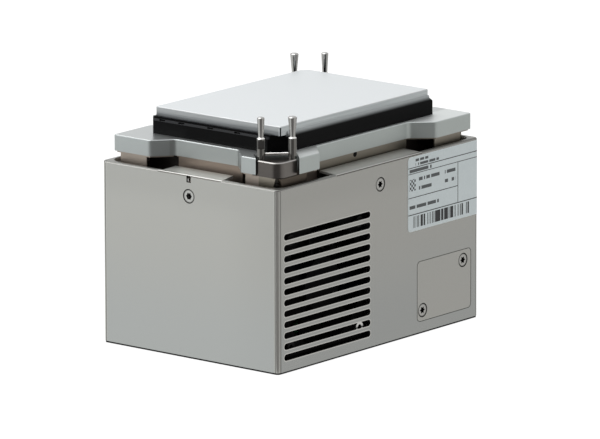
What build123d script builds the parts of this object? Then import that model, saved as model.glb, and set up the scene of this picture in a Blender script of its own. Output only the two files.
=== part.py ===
from build123d import *
import math
import os

os.makedirs("parts", exist_ok=True)

# ---------------------------------------------------------------- dimensions
# Millimetres. +Z up, origin at the centre of the underside.
# X runs along the long side, Y along the short side.
length = 148.5            # casing, along X
width = 105.2             # casing, along Y
casing_top = 86.5
sheet = 1.0
bend_r = 2.1              # outer radius of the vertical bends
lip_x, lip_y, lip_r = 72.2, 50.7, 7.0  # inner edge of the folded lip
fold_r = 0.8              # fold along the casing's top edge
flap_x, flap_y = 62.3, 40.5  # inner edge of the folded flaps

base_t = 5.0
screw_x, screw_y, screw_z = 0.5, 0.3, 76.55  # casing screws
hole_r, head_r = 3.4, 2.95
plinth = 0.8              # dark line between casing and bench

vent_count, vent_pitch, vent_z0 = 12, 5.13, 7.3
vent_len, vent_h, vent_x = 63.0, 3.0, -38.45

cover_x, cover_z, cover_w, cover_h = 48.2, 20.25, 40.2, 28.4

fan_x, fan_z, fan_size, fan_t = -37.8, 36.0, 60.0, 10.0
fan_front_y = -49.4

tx, ty = 0.8, -0.6        # tray centre at rest: 1 mm from the motor axis
deck_z, deck_t = 38.0, 4.0
crank_x, crank_y = 42.0, 24.0
post_xy = [(-56, -28), (56, -28), (-56, 38), (56, 38)]

sub_z, sub_t = 48.0, 5.0
pillar_x, pillar_y = 54.0, 14.0
frame_z, frame_t = 90.8, 7.6
cover_base_z, cover_top_z = 98.4, 106.5
adapter_top = 110.8
adapter_x, adapter_y = 55.1, 37.3
adapter_trim = 1.1        # shorter at the right-hand end
shell_x, shell_y = 57.2, 38.0

clamp_v = 14.95           # offset of the clamp line from the tray centre
pin_w, pin_s = 7.25, -71.75
pin_top = 117.0
pin_r, waist_r = 1.92, 1.25

T = (tx, ty)


def tray(z):
    return Plane((tx, ty, z))


def near(z):
    return Plane((tx - clamp_v / math.sqrt(2), ty + clamp_v / math.sqrt(2), z),
                 x_dir=(1, 1, 0), z_dir=(0, 0, 1))


def far(z):
    return Plane((tx + clamp_v / math.sqrt(2), ty - clamp_v / math.sqrt(2), z),
                 x_dir=(-1, -1, 0), z_dir=(0, 0, 1))


def save(builder, name):
    builder.part.label = name
    export_step(builder.part, "parts/" + name + ".step")


# Face-screw places: (origin on the outer face, rotation that points +Z outwards)
face_spots = [((screw_x, -width / 2, screw_z), (90, 0, 0)),
              ((screw_x, width / 2, screw_z), (-90, 0, 0)),
              ((-length / 2, screw_y, screw_z), (0, -90, 0)),
              ((length / 2, screw_y, screw_z), (0, 90, 0))]

# ---------------------------------------------------------------- base plate
with BuildPart() as base_plate:
    with BuildSketch(Plane.XY):
        RectangleRounded(length - 0.5, width - 0.5, bend_r - 0.25)
    extrude(amount=plinth)
    with BuildSketch(Plane.XY.offset(plinth)):
        RectangleRounded(length - 2 * sheet - 0.4, width - 2 * sheet - 0.4, 0.9)
    extrude(amount=base_t - plinth)
    with BuildSketch(Plane.XY):
        with Locations((-62, -42), (62, -42), (-62, 42), (62, 42)):
            Circle(1.65)
    extrude(amount=base_t, mode=Mode.SUBTRACT)
    with BuildSketch(Plane.XY):
        with Locations(*post_xy):
            Circle(1.9)
    extrude(amount=base_t, mode=Mode.SUBTRACT)
    with Locations(*[(x, y, 0.875) for x, y in post_xy]):
        Cone(3.65, 1.9, 1.75, mode=Mode.SUBTRACT)
save(base_plate, "base_plate")

with BuildPart() as base_screws:
    with Locations(*[(x, y, 0.95) for x, y in post_xy]):
        Cone(3.4, 1.75, 1.6)
    with Locations(*[(x, y, 7.5) for x, y in post_xy]):
        Cylinder(1.75, 11.6)
    with BuildSketch(Plane.XY):
        with Locations(*post_xy):
            RegularPolygon(1.5, 6)
    extrude(amount=1.6, mode=Mode.SUBTRACT)
save(base_screws, "base_screws")

# ---------------------------------------------------------------- casing
with BuildPart() as casing:
    with BuildSketch(Plane.XY.offset(plinth)):
        RectangleRounded(length, width, bend_r)
    extrude(amount=casing_top - plinth)
    fillet(casing.faces().sort_by(Axis.Z)[-1].edges(), fold_r)
    with BuildSketch(Plane.XY.offset(plinth)):
        RectangleRounded(length - 2 * sheet, width - 2 * sheet, bend_r - sheet)
    extrude(amount=casing_top - plinth - sheet, mode=Mode.SUBTRACT)
    # open top with four folded flaps left standing inwards
    with BuildSketch(Plane.XY.offset(casing_top - sheet - 0.2)):
        RectangleRounded(2 * lip_x, 2 * lip_y, lip_r)
        with BuildLine():
            Polyline((-lip_x - 1, -19.1), (-flap_x, -16.3), (-flap_x, 17.9),
                     (-lip_x - 1, 17.2), close=True)
        make_face(mode=Mode.SUBTRACT)
        with BuildLine():
            Polyline((lip_x + 1, 19.1), (flap_x, 16.3), (flap_x, -17.9),
                     (lip_x + 1, -17.2), close=True)
        make_face(mode=Mode.SUBTRACT)
        with BuildLine():
            Polyline((-31.5, -lip_y - 1), (-29.3, -flap_y), (33.2, -flap_y),
                     (31.6, -lip_y - 1), close=True)
        make_face(mode=Mode.SUBTRACT)
        with BuildLine():
            Polyline((31.5, lip_y + 1), (29.3, flap_y), (-33.2, flap_y),
                     (-31.6, lip_y + 1), close=True)
        make_face(mode=Mode.SUBTRACT)
    extrude(amount=3, mode=Mode.SUBTRACT)
    # intake slots
    with BuildSketch(Plane.XZ.offset(width / 2)):
        with Locations(*[(vent_x, vent_z0 + i * vent_pitch) for i in range(vent_count)]):
            SlotOverall(vent_len, vent_h)
        with Locations((cover_x, cover_z)):
            RectangleRounded(cover_w + 0.7, cover_h + 0.7, 2.35)
    extrude(amount=-3, mode=Mode.SUBTRACT)
    # exhaust slots on the rear face
    with BuildSketch(Plane.XZ.offset(-width / 2)):
        with Locations(*[(s * 34, 40.0 + i * vent_pitch) for i in range(8) for s in (-1, 1)]):
            SlotOverall(50, vent_h)
    extrude(amount=3, mode=Mode.SUBTRACT)
    # casing screw holes, countersunk through the sheet
    with Locations(Location((screw_x, -width / 2 + 0.5, screw_z), (90, 0, 0))):
        Cone(2.5, hole_r, 1.0, mode=Mode.SUBTRACT)
    with Locations(Location((screw_x, width / 2 - 0.5, screw_z), (-90, 0, 0))):
        Cone(2.5, hole_r, 1.0, mode=Mode.SUBTRACT)
    with Locations(Location((-length / 2 + 0.5, screw_y, screw_z), (0, -90, 0))):
        Cone(2.5, hole_r, 1.0, mode=Mode.SUBTRACT)
    with Locations(Location((length / 2 - 0.5, screw_y, screw_z), (0, 90, 0))):
        Cone(2.5, hole_r, 1.0, mode=Mode.SUBTRACT)
    # small latch slot under the fold of the left face
    with Locations((-length / 2, screw_y, 84.7)):
        Box(3, 2.6, 3.1, mode=Mode.SUBTRACT)
    # socket cut-outs in the right face
    with Locations((length / 2, 26, 20)):
        Box(4, 18.4, 11.4, mode=Mode.SUBTRACT)
    with Locations((length / 2, -24, 20)):
        Box(4, 20.4, 11.4, mode=Mode.SUBTRACT)
save(casing, "casing")

with BuildPart() as casing_screws:
    for org, rot in face_spots:
        with Locations(Location(org, rot)):
            with Locations((0, 0, -0.575)):
                Cone(2.2, head_r, 0.85)
            with Locations((0, 0, -3.4)):
                Cylinder(1.75, 4.8)
    for org, rot in face_spots:
        with Locations(Location(org, rot)):
            with Locations((0, 0, -0.8)):
                Cylinder(1.05, 1.4, mode=Mode.SUBTRACT)
            with PolarLocations(1.05, 6):
                with Locations((0, 0, -0.8)):
                    Cylinder(0.42, 1.4, mode=Mode.SUBTRACT)
save(casing_screws, "casing_screws")

with BuildPart() as casing_posts:
    with Locations((0, -width / 2 + 3.6, 43.5), (0, width / 2 - 3.6, 43.5)):
        Box(10, 4.8, 77)
    with Locations((-length / 2 + 3.6, 0, 43.5), (length / 2 - 3.6, 0, 43.5)):
        Box(4.8, 10, 77)
    with Locations((0, -44.0, 6), (0, 44.0, 6)):
        Box(10, 6, 2)
    with Locations((-65.5, 0, 6), (65.5, 0, 6)):
        Box(6, 10, 2)
    with Locations(Location((screw_x, 0, screw_z), (90, 0, 0))):
        Cylinder(1.76, 110, mode=Mode.SUBTRACT)
    with Locations(Location((0, screw_y, screw_z), (0, 90, 0))):
        Cylinder(1.76, 160, mode=Mode.SUBTRACT)
save(casing_posts, "casing_posts")

# ---------------------------------------------------------------- access cover
cs = [(62.5, 29.5), (32.0, 11.0)]
with BuildPart() as access_cover:
    with BuildSketch(Plane.XZ.offset(width / 2)):
        with Locations((cover_x, cover_z)):
            RectangleRounded(cover_w, cover_h, 2.0)
    extrude(amount=-sheet)
    with Locations(*[Location((x, -width / 2 + 0.5, z), (90, 0, 0)) for x, z in cs]):
        Cone(2.5, hole_r, 1.0, mode=Mode.SUBTRACT)
save(access_cover, "access_cover")

with BuildPart() as cover_backing:
    with BuildSketch(Plane.XZ.offset(width / 2 - sheet)):
        with Locations((cover_x, cover_z)):
            RectangleRounded(43.6, 29.6, 2.0)
        with Locations((cover_x, cover_z)):
            RectangleRounded(36, 24, 2.0, mode=Mode.SUBTRACT)
        with Locations(*cs):
            Circle(4.6)
        with Locations(*cs):
            Circle(1.3, mode=Mode.SUBTRACT)
    extrude(amount=-1.0)
    with BuildSketch(Plane.XZ.offset(width / 2 - sheet - 1.0)):
        with Locations(*cs):
            Circle(3.0)
        with Locations(*cs):
            Circle(1.3, mode=Mode.SUBTRACT)
    extrude(amount=-2.0)
save(cover_backing, "cover_backing")

with BuildPart() as cover_screws:
    with Locations(*[Location((x, -width / 2 + 0.575, z), (90, 0, 0)) for x, z in cs]):
        Cone(2.2, head_r, 0.85)
    with Locations(*[Location((x, -width / 2 + 2.4, z), (90, 0, 0)) for x, z in cs]):
        Cylinder(1.25, 3.0)
    with BuildSketch(Plane.XZ.offset(width / 2)):
        with Locations(*cs):
            Circle(0.85)
        for cx, cz in cs:
            with Locations(*[(cx + 0.85 * math.cos(math.radians(60 * i)),
                              cz + 0.85 * math.sin(math.radians(60 * i))) for i in range(6)]):
                Circle(0.36)
    extrude(amount=-1.0, mode=Mode.SUBTRACT)
save(cover_screws, "cover_screws")

# ---------------------------------------------------------------- rating label
film = 0.12
with BuildPart() as rating_label:
    with BuildSketch(Plane.XY.offset(49.9)):
        RectangleRounded(length + 2 * film, width + 2 * film, bend_r + film)
        RectangleRounded(length, width, bend_r, mode=Mode.SUBTRACT)
    extrude(amount=35.5)
    with Locations((61.0, -46.6, 67.65)):
        Box(80.2, 12.0 + 12.24, 35.5, mode=Mode.INTERSECT)
    with BuildSketch(Plane.XZ.offset(60)):
        with Locations((70.9, 67.65)):
            RectangleRounded(100, 35.5, 2.0)
    extrude(amount=-40, mode=Mode.INTERSECT)
save(rating_label, "rating_label")

# ---------------------------------------------------------------- deck
with BuildPart() as deck_plate:
    with BuildSketch(Plane.XY.offset(deck_z)):
        with Locations((0, 5.0)):
            RectangleRounded(124, 78, 4)
        Circle(8.0, mode=Mode.SUBTRACT)
        with GridLocations(2 * crank_x, 2 * crank_y, 2, 2):
            Circle(6.5, mode=Mode.SUBTRACT)
        with Locations(*post_xy):
            Circle(1.9, mode=Mode.SUBTRACT)
        with PolarLocations(16, 4, start_angle=45):
            Circle(1.6, mode=Mode.SUBTRACT)
        with Locations((0, 37.6)):
            SlotOverall(44, 8, mode=Mode.SUBTRACT)
    extrude(amount=deck_t)
    with BuildSketch(Plane.XY.offset(deck_z + 1.4)):
        with Locations(*post_xy):
            Circle(3.2)
        with PolarLocations(16, 4, start_angle=45):
            Circle(2.9)
    extrude(amount=deck_t, mode=Mode.SUBTRACT)
save(deck_plate, "deck_plate")

with BuildPart() as deck_posts:
    with BuildSketch(Plane.XY.offset(base_t)):
        with Locations(*post_xy):
            Circle(4.5)
            Circle(1.76, mode=Mode.SUBTRACT)
    extrude(amount=deck_z - base_t)
save(deck_posts, "deck_posts")

with BuildPart() as deck_screws:
    with BuildSketch(Plane.XY.offset(deck_z + 1.4)):
        with Locations(*post_xy):
            Circle(3.0)
    extrude(amount=2.5)
    with BuildSketch(Plane.XY.offset(deck_z - 9)):
        with Locations(*post_xy):
            Circle(1.75)
    extrude(amount=10.5)
    with BuildSketch(Plane.XY.offset(deck_z + 2.4)):
        with Locations(*post_xy):
            RegularPolygon(1.6, 6)
    extrude(amount=2, mode=Mode.SUBTRACT)
save(deck_screws, "deck_screws")

# ---------------------------------------------------------------- motor
with BuildPart() as motor_housing:
    with BuildSketch(Plane.XY.offset(13)):
        Circle(22)
    extrude(amount=25)
    with BuildSketch(Plane.XY.offset(16)):
        Circle(20)
    extrude(amount=19, mode=Mode.SUBTRACT)
    with BuildSketch(Plane.XY.offset(13)):
        Circle(6.5)
    extrude(amount=25, mode=Mode.SUBTRACT)
    with BuildSketch(Plane.XY.offset(35)):
        with PolarLocations(16, 4, start_angle=45):
            Circle(1.51)
    extrude(amount=3, mode=Mode.SUBTRACT)
    with BuildSketch(Plane.XZ.offset(23)):
        with Locations((0, 18.5)):
            SlotOverall(8, 3)
    extrude(amount=-5, mode=Mode.SUBTRACT)
save(motor_housing, "motor_housing")

with BuildPart() as motor_bearings:
    with BuildSketch(Plane.XY.offset(13)):
        Circle(6.49)
        Circle(3.05, mode=Mode.SUBTRACT)
    extrude(amount=3)
    with BuildSketch(Plane.XY.offset(35)):
        Circle(6.49)
        Circle(3.05, mode=Mode.SUBTRACT)
    extrude(amount=3)
save(motor_bearings, "motor_bearings")

with BuildPart() as motor_stator:
    with BuildSketch(Plane.XY.offset(18)):
        Circle(19.98)
        Circle(11.4, mode=Mode.SUBTRACT)
        with PolarLocations(14.2, 9):
            SlotOverall(4.4, 2.4, mode=Mode.SUBTRACT)
    extrude(amount=15)
save(motor_stator, "motor_stator")

with BuildPart() as motor_screws:
    with BuildSketch(Plane.XY.offset(deck_z + 1.4)):
        with PolarLocations(16, 4, start_angle=45):
            Circle(2.7)
    extrude(amount=2.4)
    with BuildSketch(Plane.XY.offset(35.4)):
        with PolarLocations(16, 4, start_angle=45):
            Circle(1.5)
    extrude(amount=4.1)
    with BuildSketch(Plane.XY.offset(deck_z + 2.4)):
        with PolarLocations(16, 4, start_angle=45):
            RegularPolygon(1.25, 6)
    extrude(amount=2, mode=Mode.SUBTRACT)
save(motor_screws, "motor_screws")

with BuildPart() as motor_shaft:
    with BuildSketch(Plane.XY.offset(12.5)):
        Circle(3.0)
    extrude(amount=33.5)
    chamfer(motor_shaft.faces().sort_by(Axis.Z)[0].edges(), 0.4)
save(motor_shaft, "motor_shaft")

with BuildPart() as motor_rotor:
    with BuildSketch(Plane.XY.offset(17)):
        Circle(10.9)
        Circle(3.01, mode=Mode.SUBTRACT)
    extrude(amount=17)
save(motor_rotor, "motor_rotor")

# ---------------------------------------------------------------- eccentric
with BuildPart() as eccentric_hub:
    with BuildSketch(Plane.XY.offset(43)):
        Circle(9)
    extrude(amount=4)
    with BuildSketch(tray(47)):
        Circle(4.0)
    extrude(amount=6.6)
    with BuildSketch(Plane.XY.offset(43)):
        Circle(3.01)
    extrude(amount=3.2, mode=Mode.SUBTRACT)
save(eccentric_hub, "eccentric_hub")

with BuildPart() as counterweight:
    with BuildSketch(Plane.XY.offset(43)):
        Circle(24)
        Circle(9.02, mode=Mode.SUBTRACT)
        with Locations(Location((10.0, -7.5, 0), (0, 0, -36.87))):
            Rectangle(25, 60, mode=Mode.SUBTRACT)
    extrude(amount=4)
save(counterweight, "counterweight")

# ---------------------------------------------------------------- guide cranks
with BuildPart() as guide_bearings_lower:
    with BuildSketch(Plane.XY.offset(deck_z)):
        with GridLocations(2 * crank_x, 2 * crank_y, 2, 2):
            Circle(6.47)
            Circle(3.05, mode=Mode.SUBTRACT)
    extrude(amount=deck_t)
save(guide_bearings_lower, "guide_bearings_lower")

for tag, gx, gy in (("a", -crank_x, -crank_y), ("b", crank_x, -crank_y),
                    ("c", crank_x, crank_y), ("d", -crank_x, crank_y)):
    with BuildPart() as guide_crank:
        with BuildSketch(Plane((gx, gy, 37.4))):
            Circle(3.0)
        extrude(amount=5.6)
        with BuildSketch(Plane((gx, gy, 43))):
            Circle(7.5)
        extrude(amount=3)
        with BuildSketch(Plane((gx + tx, gy + ty, 46))):
            Circle(2.5)
        extrude(amount=7.4)
    save(guide_crank, "guide_crank_" + tag)

with BuildPart() as guide_bearings_upper:
    with BuildSketch(tray(49)):
        with GridLocations(2 * crank_x, 2 * crank_y, 2, 2):
            Circle(6.47)
            Circle(2.55, mode=Mode.SUBTRACT)
    extrude(amount=4)
save(guide_bearings_upper, "guide_bearings_upper")

# ---------------------------------------------------------------- tray
with BuildPart() as tray_subplate:
    with BuildSketch(tray(sub_z)):
        RectangleRounded(120, 64, 5)
        Circle(9.51, mode=Mode.SUBTRACT)
        with GridLocations(2 * crank_x, 2 * crank_y, 2, 2):
            Circle(6.5, mode=Mode.SUBTRACT)
        with GridLocations(2 * pillar_x, 2 * pillar_y, 2, 2):
            Circle(1.85, mode=Mode.SUBTRACT)
    extrude(amount=sub_t)
    with BuildSketch(tray(sub_z)):
        with GridLocations(2 * pillar_x, 2 * pillar_y, 2, 2):
            Circle(3.1)
    extrude(amount=2.5, mode=Mode.SUBTRACT)
save(tray_subplate, "tray_subplate")

with BuildPart() as main_bearing:
    with BuildSketch(tray(49)):
        Circle(9.5)
        Circle(4.05, mode=Mode.SUBTRACT)
    extrude(amount=4)
save(main_bearing, "main_bearing")

with BuildPart() as tray_pillars:
    with BuildSketch(tray(sub_z + sub_t)):
        with GridLocations(2 * pillar_x, 2 * pillar_y, 2, 2):
            Circle(4.0)
            Circle(1.76, mode=Mode.SUBTRACT)
    extrude(amount=85 - sub_z - sub_t)
save(tray_pillars, "tray_pillars")

with BuildPart() as thermal_washers:
    with BuildSketch(tray(88)):
        with GridLocations(2 * pillar_x, 2 * pillar_y, 2, 2):
            Circle(3.9)
            Circle(1.85, mode=Mode.SUBTRACT)
    extrude(amount=frame_z - 88)
save(thermal_washers, "thermal_washers")

with BuildPart() as pillar_screws:
    with BuildSketch(tray(sub_z + 0.2)):
        with GridLocations(2 * pillar_x, 2 * pillar_y, 2, 2):
            Circle(3.0)
    extrude(amount=2.3)
    with BuildSketch(tray(sub_z + 2.5)):
        with GridLocations(2 * pillar_x, 2 * pillar_y, 2, 2):
            Circle(1.75)
    extrude(amount=11)
    with BuildSketch(tray(95.8)):
        with GridLocations(2 * pillar_x, 2 * pillar_y, 2, 2):
            Circle(3.0)
    extrude(amount=2.4)
    with BuildSketch(tray(77)):
        with GridLocations(2 * pillar_x, 2 * pillar_y, 2, 2):
            Circle(1.75)
    extrude(amount=18.8)
    with BuildSketch(tray(96.8)):
        with GridLocations(2 * pillar_x, 2 * pillar_y, 2, 2):
            RegularPolygon(1.4, 6)
    extrude(amount=2, mode=Mode.SUBTRACT)
save(pillar_screws, "pillar_screws")

with BuildPart() as heatsink:
    with BuildSketch(tray(82)):
        Rectangle(88, 60)
    extrude(amount=6)
    with BuildSketch(tray(85)):
        Rectangle(116, 40)
        with GridLocations(2 * pillar_x, 2 * pillar_y, 2, 2):
            Circle(1.85, mode=Mode.SUBTRACT)
    extrude(amount=3)
    with BuildSketch(tray(58)):
        with GridLocations(4.1, 0, 22, 1):
            Rectangle(1.2, 60)
    extrude(amount=24)
save(heatsink, "heatsink")

with BuildPart() as peltier_modules:
    with BuildSketch(tray(88)):
        with GridLocations(42, 0, 2, 1):
            Rectangle(40, 40)
    extrude(amount=3.6)
save(peltier_modules, "peltier_modules")

with BuildPart() as cold_plate:
    with BuildSketch(tray(91.6)):
        Rectangle(92, 56)
    extrude(amount=12.4)
    with Locations(Location((tx - 38, ty, 98), (0, 90, 0))):
        Cylinder(1.55, 18, mode=Mode.SUBTRACT)
save(cold_plate, "cold_plate")

with BuildPart() as temperature_sensor:
    with Locations(Location((tx - 38, ty, 98), (0, 90, 0))):
        Cylinder(1.5, 15)
save(temperature_sensor, "temperature_sensor")

with BuildPart() as insulation_foam:
    with BuildSketch(tray(91.9)):
        RectangleRounded(99.4, 63.4, 2.8)
        Rectangle(92.4, 56.4, mode=Mode.SUBTRACT)
    extrude(amount=12.1)
save(insulation_foam, "insulation_foam")

with BuildPart() as insulation_cover:
    with BuildSketch(tray(cover_base_z)):
        with BuildLine():
            Polyline((-shell_x, -shell_y + 6.6), (-shell_x + 6.6, -shell_y),
                     (shell_x, -shell_y), (shell_x, shell_y - 6.6),
                     (shell_x - 6.6, shell_y), (-shell_x, shell_y), close=True)
        make_face()
    extrude(amount=cover_top_z - cover_base_z)
    fillet(insulation_cover.edges().filter_by(Axis.Z), 1.4)
    # rim along the left-hand short side, with rest notches
    with Locations((tx - shell_x + 0.15, ty + 3.3, 105.1)):
        Box(1.1, 67.0, 1.0)
    with Locations((tx - shell_x - 0.4, ty, 106.3)):
        Box(2.4, 80, 1.0, mode=Mode.SUBTRACT)
    with Locations(*[(tx - 57.6, ty - y, 105.2) for y in (-31.4, -19.9, -2.5, 13.6)]):
        Box(2.0, 3.6, 0.8, mode=Mode.SUBTRACT)
    # sloping top edge at the right-hand short side
    with BuildSketch(Plane.XZ.offset(-ty - 45)):
        with BuildLine():
            Polyline((tx + 54.1, 106.6), (tx + 57.7, 104.0), (tx + 57.7, 107.5),
                     (tx + 54.1, 107.5), close=True)
        make_face()
    extrude(amount=90, mode=Mode.SUBTRACT)
    # raised shoulder along the two long sides, outside the adapter
    for s in (-1, 1):
        with BuildSketch(Plane.YZ.offset(tx - 50.4 if s < 0 else tx - 54.0)):
            with BuildLine():
                Polyline((ty + s * 37.35, 105.4), (ty + s * 37.35, 108.0), (ty + s * 37.55, 107.85),
                         (ty + s * 37.8, 107.3), (ty + s * 37.95, 106.5), (ty + s * 38.0, 105.4),
                         close=True)
            make_face()
        extrude(amount=104.4)
    with BuildSketch(tray(cover_base_z)):
        Rectangle(104, 66)
    extrude(amount=5.8, mode=Mode.SUBTRACT)
    with BuildSketch(tray(cover_base_z)):
        Rectangle(97, 61)
    extrude(amount=10, mode=Mode.SUBTRACT)
save(insulation_cover, "insulation_cover")

with BuildPart() as adapter_plate:
    with BuildSketch(tray(cover_top_z)):
        with Locations((-adapter_trim / 2, 0)):
            RectangleRounded(2 * adapter_x - adapter_trim, 2 * adapter_y, 0.8)
    extrude(amount=adapter_top - cover_top_z)
    # keyed corner
    key = (adapter_x - adapter_trim, adapter_y)
    with BuildSketch(tray(cover_top_z)):
        with BuildLine():
            Polyline((key[0] - 3.2, key[1] + 0.1), (key[0] + 0.1, key[1] - 3.2),
                     (key[0] + 1, key[1] + 1), close=True)
        make_face()
    extrude(amount=adapter_top - cover_top_z, mode=Mode.SUBTRACT)
    chamfer(adapter_plate.faces().sort_by(Axis.Z)[-1].edges(), 0.3)
    with BuildSketch(tray(104)):
        RectangleRounded(96, 60, 2)
    extrude(amount=cover_top_z - 104)
save(adapter_plate, "adapter_plate")

# ---------------------------------------------------------------- shaker frame
half = [(-70.5, 50.0), (-70.5, 28.4), (-61.1, 20.2), (-61.1, -17.2), (-70.5, -26.6),
        (-70.5, -50.0), (-42.3, -50.0), (-32.4, -40.1), (35.4, -40.1), (44.4, -50.0)]
corner_r = [1.2, 3.0, 3.5, 1.6, 1.0, 1.2, 1.0, 1.6, 3.5, 3.0]
outline = half + [(-x, -y) for x, y in half]

with BuildPart() as shaker_frame:
    with BuildSketch(tray(frame_z)):
        with BuildLine():
            Polyline(*outline, close=True)
        make_face()
    extrude(amount=frame_t)
    for (cx, cy), cr in zip(half, corner_r):
        for s in (-1, 1):
            spot = Vector(tx + s * cx, ty + s * cy, frame_z + frame_t / 2)
            fillet(shaker_frame.edges().filter_by(Axis.Z).sort_by_distance(spot)[0:1], cr)
    chamfer(shaker_frame.faces().sort_by(Axis.Z)[-1].edges(), 0.35)
    with BuildSketch(tray(frame_z)):
        RectangleRounded(100, 64, 3)
    extrude(amount=frame_t, mode=Mode.SUBTRACT)
    # clamp channels across two opposite corners
    with BuildSketch(near(frame_z)):
        with Locations((-64.6 - 15, 0)):
            Rectangle(30, 20)
    extrude(amount=frame_t, mode=Mode.SUBTRACT)
    with BuildSketch(far(frame_z)):
        with Locations((-64.6 - 15, 0)):
            Rectangle(30, 20)
    extrude(amount=frame_t, mode=Mode.SUBTRACT)
    with BuildSketch(tray(frame_z)):
        with GridLocations(2 * pillar_x, 2 * pillar_y, 2, 2):
            Circle(1.85)
    extrude(amount=frame_t, mode=Mode.SUBTRACT)
    with BuildSketch(tray(95.8)):
        with GridLocations(2 * pillar_x, 2 * pillar_y, 2, 2):
            Circle(3.1)
    extrude(amount=3, mode=Mode.SUBTRACT)
save(shaker_frame, "shaker_frame")

# ---------------------------------------------------------------- tray skirt
# One bent strip each side of the clamp corners: a thin top flange under the
# frame, and upright panels that hang into the casing.
for side, plane_of, end_y in (("left", lambda z: Plane((tx, ty, z)), 47.3),
                              ("right", lambda z: Plane((tx, ty, z), x_dir=(-1, 0, 0)), 45.4)):
    with BuildPart() as skirt:
        with BuildSketch(plane_of(90.0)):
            with BuildLine():
                Polyline(*outline, close=True)
            make_face()
            offset(amount=-1.2, kind=Kind.INTERSECTION)
        extrude(amount=0.8)
        with BuildSketch(plane_of(90.0)):
            with BuildLine():
                Polyline((-66.1, 45.7), (-66.1, 27.1), (-58.3, 18.9), (-58.3, -15.6),
                         (-66.1, -25.2), (-66.1, -45.7), (-41.5, -45.7), (-33.6, -36.3),
                         (38.6, -36.3), (47.6, -45.7),
                         (66.1, -45.7), (66.1, -27.1), (58.3, -18.9), (58.3, 15.6),
                         (66.1, 25.2), (66.1, 45.7), (41.5, 45.7), (33.6, 36.3),
                         (-38.6, 36.3), (-47.6, 45.7), close=True)
            make_face()
        extrude(amount=0.8, mode=Mode.SUBTRACT)
        # keep only the run from the near clamp corner to the far one
        with BuildSketch(plane_of(90.0)):
            with BuildLine():
                Polyline((-80, -43.0), (-57.4, -20.4), (-20, 0), (20, 0), (26, 20),
                         (61.5, 55.5), (61.5, 70), (100, 70), (100, -70),
                         (-80, -70), close=True)
            make_face()
        extrude(amount=0.8, mode=Mode.SUBTRACT)
        # upright panels
        with BuildSketch(plane_of(80.5)):
            with Locations((-59.4, 0.5)):
                Rectangle(0.8, 38.2)
            with Locations((-68.2, (31.6 + end_y) / 2)):
                Rectangle(0.8, end_y - 31.6)
            with BuildLine():
                Polyline((-68.6, end_y - 0.3), (-65.0, 47.9), (-64.5, 47.1), (-67.8, end_y - 0.8),
                         (-68.4, end_y - 1.0), close=True)
            make_face()
            with Locations((-55.0, 47.5)):
                Rectangle(19.4, 0.8)
            with Locations((-3.0, 38.4)):
                Rectangle(65.0, 0.8)
        extrude(amount=10.3)
        with BuildSketch(plane_of(80.5)):
            with Locations((-68.2, -36.4)):
                Rectangle(0.8, 17.6)
            with Locations((58.7, 47.5)):
                Rectangle(19.0, 0.8)
        extrude(amount=9.4)
        with BuildSketch(plane_of(89.9)):
            with Locations((-68.2, -29.3)):
                Rectangle(0.8, 3.4)
            with Locations((51.0, 47.5)):
                Rectangle(3.6, 0.8)
        extrude(amount=0.9)
        # slanted ends at the clamp corner
        along = plane_of(0)
        with BuildSketch(Plane(along.from_local_coords(Vector(-69.5, 0, 0)),
                               x_dir=along.y_dir, z_dir=along.x_dir)):
            with BuildLine():
                Polyline((-45.4, 90.0), (-42.0, 80.0), (-47.0, 80.0), (-47.0, 90.0), close=True)
            make_face()
        extrude(amount=3, mode=Mode.SUBTRACT)
        with BuildSketch(Plane(along.from_local_coords(Vector(0, 49.0, 0)),
                               x_dir=along.x_dir, z_dir=-along.y_dir)):
            with BuildLine():
                Polyline((68.4, 90.0), (65.0, 80.0), (70.0, 80.0), (70.0, 90.0), close=True)
            make_face()
        extrude(amount=3, mode=Mode.SUBTRACT)
    save(skirt, "tray_skirt_" + side)

# ---------------------------------------------------------------- shroud
# Dark guard wall behind the skirt, open at the two clamp corners.
with BuildPart() as tray_shroud:
    with BuildSketch(tray(80.6)):
        Rectangle(117.9, 75.4)
        Rectangle(116.4, 73.9, mode=Mode.SUBTRACT)
    extrude(amount=9.4)
    for plane_of in (near, far):
        with BuildSketch(plane_of(80.6)):
            with Locations((-72, 0)):
                Rectangle(20, 20)
        extrude(amount=9.4, mode=Mode.SUBTRACT)
save(tray_shroud, "tray_shroud")

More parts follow.
